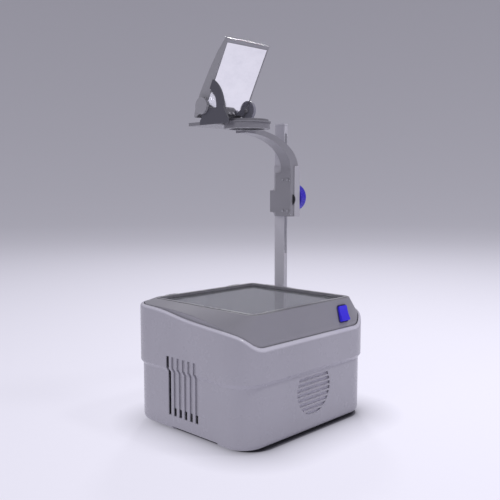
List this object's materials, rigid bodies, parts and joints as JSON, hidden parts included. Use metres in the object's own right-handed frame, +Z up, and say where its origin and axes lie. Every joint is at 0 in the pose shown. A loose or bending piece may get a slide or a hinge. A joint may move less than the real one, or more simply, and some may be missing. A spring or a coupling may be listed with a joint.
{
  "type": "overhead projector",
  "caption": "Desk overhead projector: stepped grey housing with lit stage, side mast with rack-focused arm, lens head and tilting mirror.",
  "frame": {"origin": "on the floor under the middle of the whole object's bounding box", "axes": "+Z up, +Y to the back, +X to the side that carries the mast; the grille and switch face -Y"},
  "size_m": [0.4334, 0.3384, 0.7892],
  "materials": {
    "housing_grey": "fine texture",
    "upper_grey": "fine texture",
    "mast_grey": "satin powder coat",
    "arm_grey": "satin powder coat",
    "dark_plastic": "satin",
    "blue_plastic": "semi-gloss",
    "black_rubber": "matt",
    "steel": "zinc plated",
    "bright_aluminium": "polished",
    "clear_glass": "clear",
    "clear_plastic": "grooved",
    "mirror": "front silvered",
    "inner_black": "matt",
    "core_iron": "varnished laminations",
    "copper_tape": "varnished tape",
    "ceramic": "glazed"
  },
  "bodies": {
    "base": {"lower_housing": "housing_grey", "base_pan": "mast_grey", "rubber_feet": "black_rubber", "pan_screws": "steel", "vent_baffle": "housing_grey", "grille_blades": "housing_grey", "upper_housing": "upper_grey", "hinge_leaves": "steel", "hinge_pins": "steel", "switch_bezel": "dark_plastic", "switch_body": "inner_black", "transformer_core": "core_iron", "transformer_coil": "copper_tape", "transformer_feet": "steel", "fan_frame": "inner_black", "lamp_bracket": "steel", "lamp_reflector": "bright_aluminium", "lamp_socket": "ceramic", "halogen_lamp": "clear_glass", "condenser_holder": "steel", "condenser_lens": "clear_glass", "heat_filter": "clear_glass", "filter_clips": "steel", "thermal_cutout": "ceramic", "terminal_block": "ceramic", "mains_inlet": "inner_black", "fuse_holder": "inner_black", "mast_socket": "mast_grey", "socket_screws": "steel", "post": "mast_grey", "post_cap": "dark_plastic", "rack": "steel"},
    "stage_lid": {"stage_frame": "upper_grey", "stage_glass": "clear_glass", "fresnel_lens": "clear_plastic", "lens_retainer": "inner_black", "retainer_screws": "steel"},
    "rocker": {"switch_rocker": "blue_plastic"},
    "fan": {"fan_rotor": "inner_black"},
    "carriage": {"carriage_block": "mast_grey", "rear_keeper": "mast_grey", "keeper_screws": "steel", "hub_disc": "inner_black", "arm": "arm_grey", "arm_screws": "steel", "lens_barrel": "dark_plastic", "objective_lens": "clear_glass", "head_plate": "dark_plastic", "head_screws": "steel", "left_cheek": "dark_plastic", "right_ear": "dark_plastic"},
    "focus": {"focus_knob": "blue_plastic", "pinion": "steel"},
    "mirror": {"mirror_housing": "upper_grey", "mirror_glass": "mirror", "mirror_backing": "inner_black", "tilt_pins": "steel"},
    "tilt_knob": {"tilt_knob": "upper_grey"}
  },
  "joints": [
    {"name": "stage_hinge", "type": "hinge", "parent": "base", "child": "stage_lid", "pos_m": [-0.0193, 0.1512, 0.2548], "axis": [-1, 0, 0], "range_deg": [0, 60]},
    {"name": "switch_rock", "type": "hinge", "parent": "base", "child": "rocker", "pos_m": [0.0887, -0.15655, 0.227], "axis": [1, 0, 0], "range_deg": [0, 10]},
    {"name": "fan_spin", "type": "hinge", "parent": "base", "child": "fan", "pos_m": [-0.0123, -0.1388, 0.084], "axis": [0, 1, 0], "continuous": true},
    {"name": "focus_slide", "type": "slide", "parent": "base", "child": "carriage", "axis": [0, 0, 1], "range_m": [-0.04, 0.04]},
    {"name": "focus_turn", "type": "hinge", "parent": "carriage", "child": "focus", "pos_m": [0.1977, 0.0787, 0.4635], "axis": [1, 0, 0], "range_deg": [-330, 330]},
    {"name": "mirror_tilt", "type": "hinge", "parent": "carriage", "child": "mirror", "pos_m": [-0.0193, 0.0762, 0.657], "axis": [1, 0, 0], "range_deg": [-5, 62]},
    {"name": "tilt_knob_turn", "type": "hinge", "parent": "carriage", "child": "tilt_knob", "pos_m": [-0.0903, 0.0762, 0.657], "axis": [1, 0, 0], "range_deg": [-90, 90]}
  ],
  "couplings": [
    {"joint": "focus_turn", "follows": "focus_slide", "rad_per_m": -142.86}
  ]
}
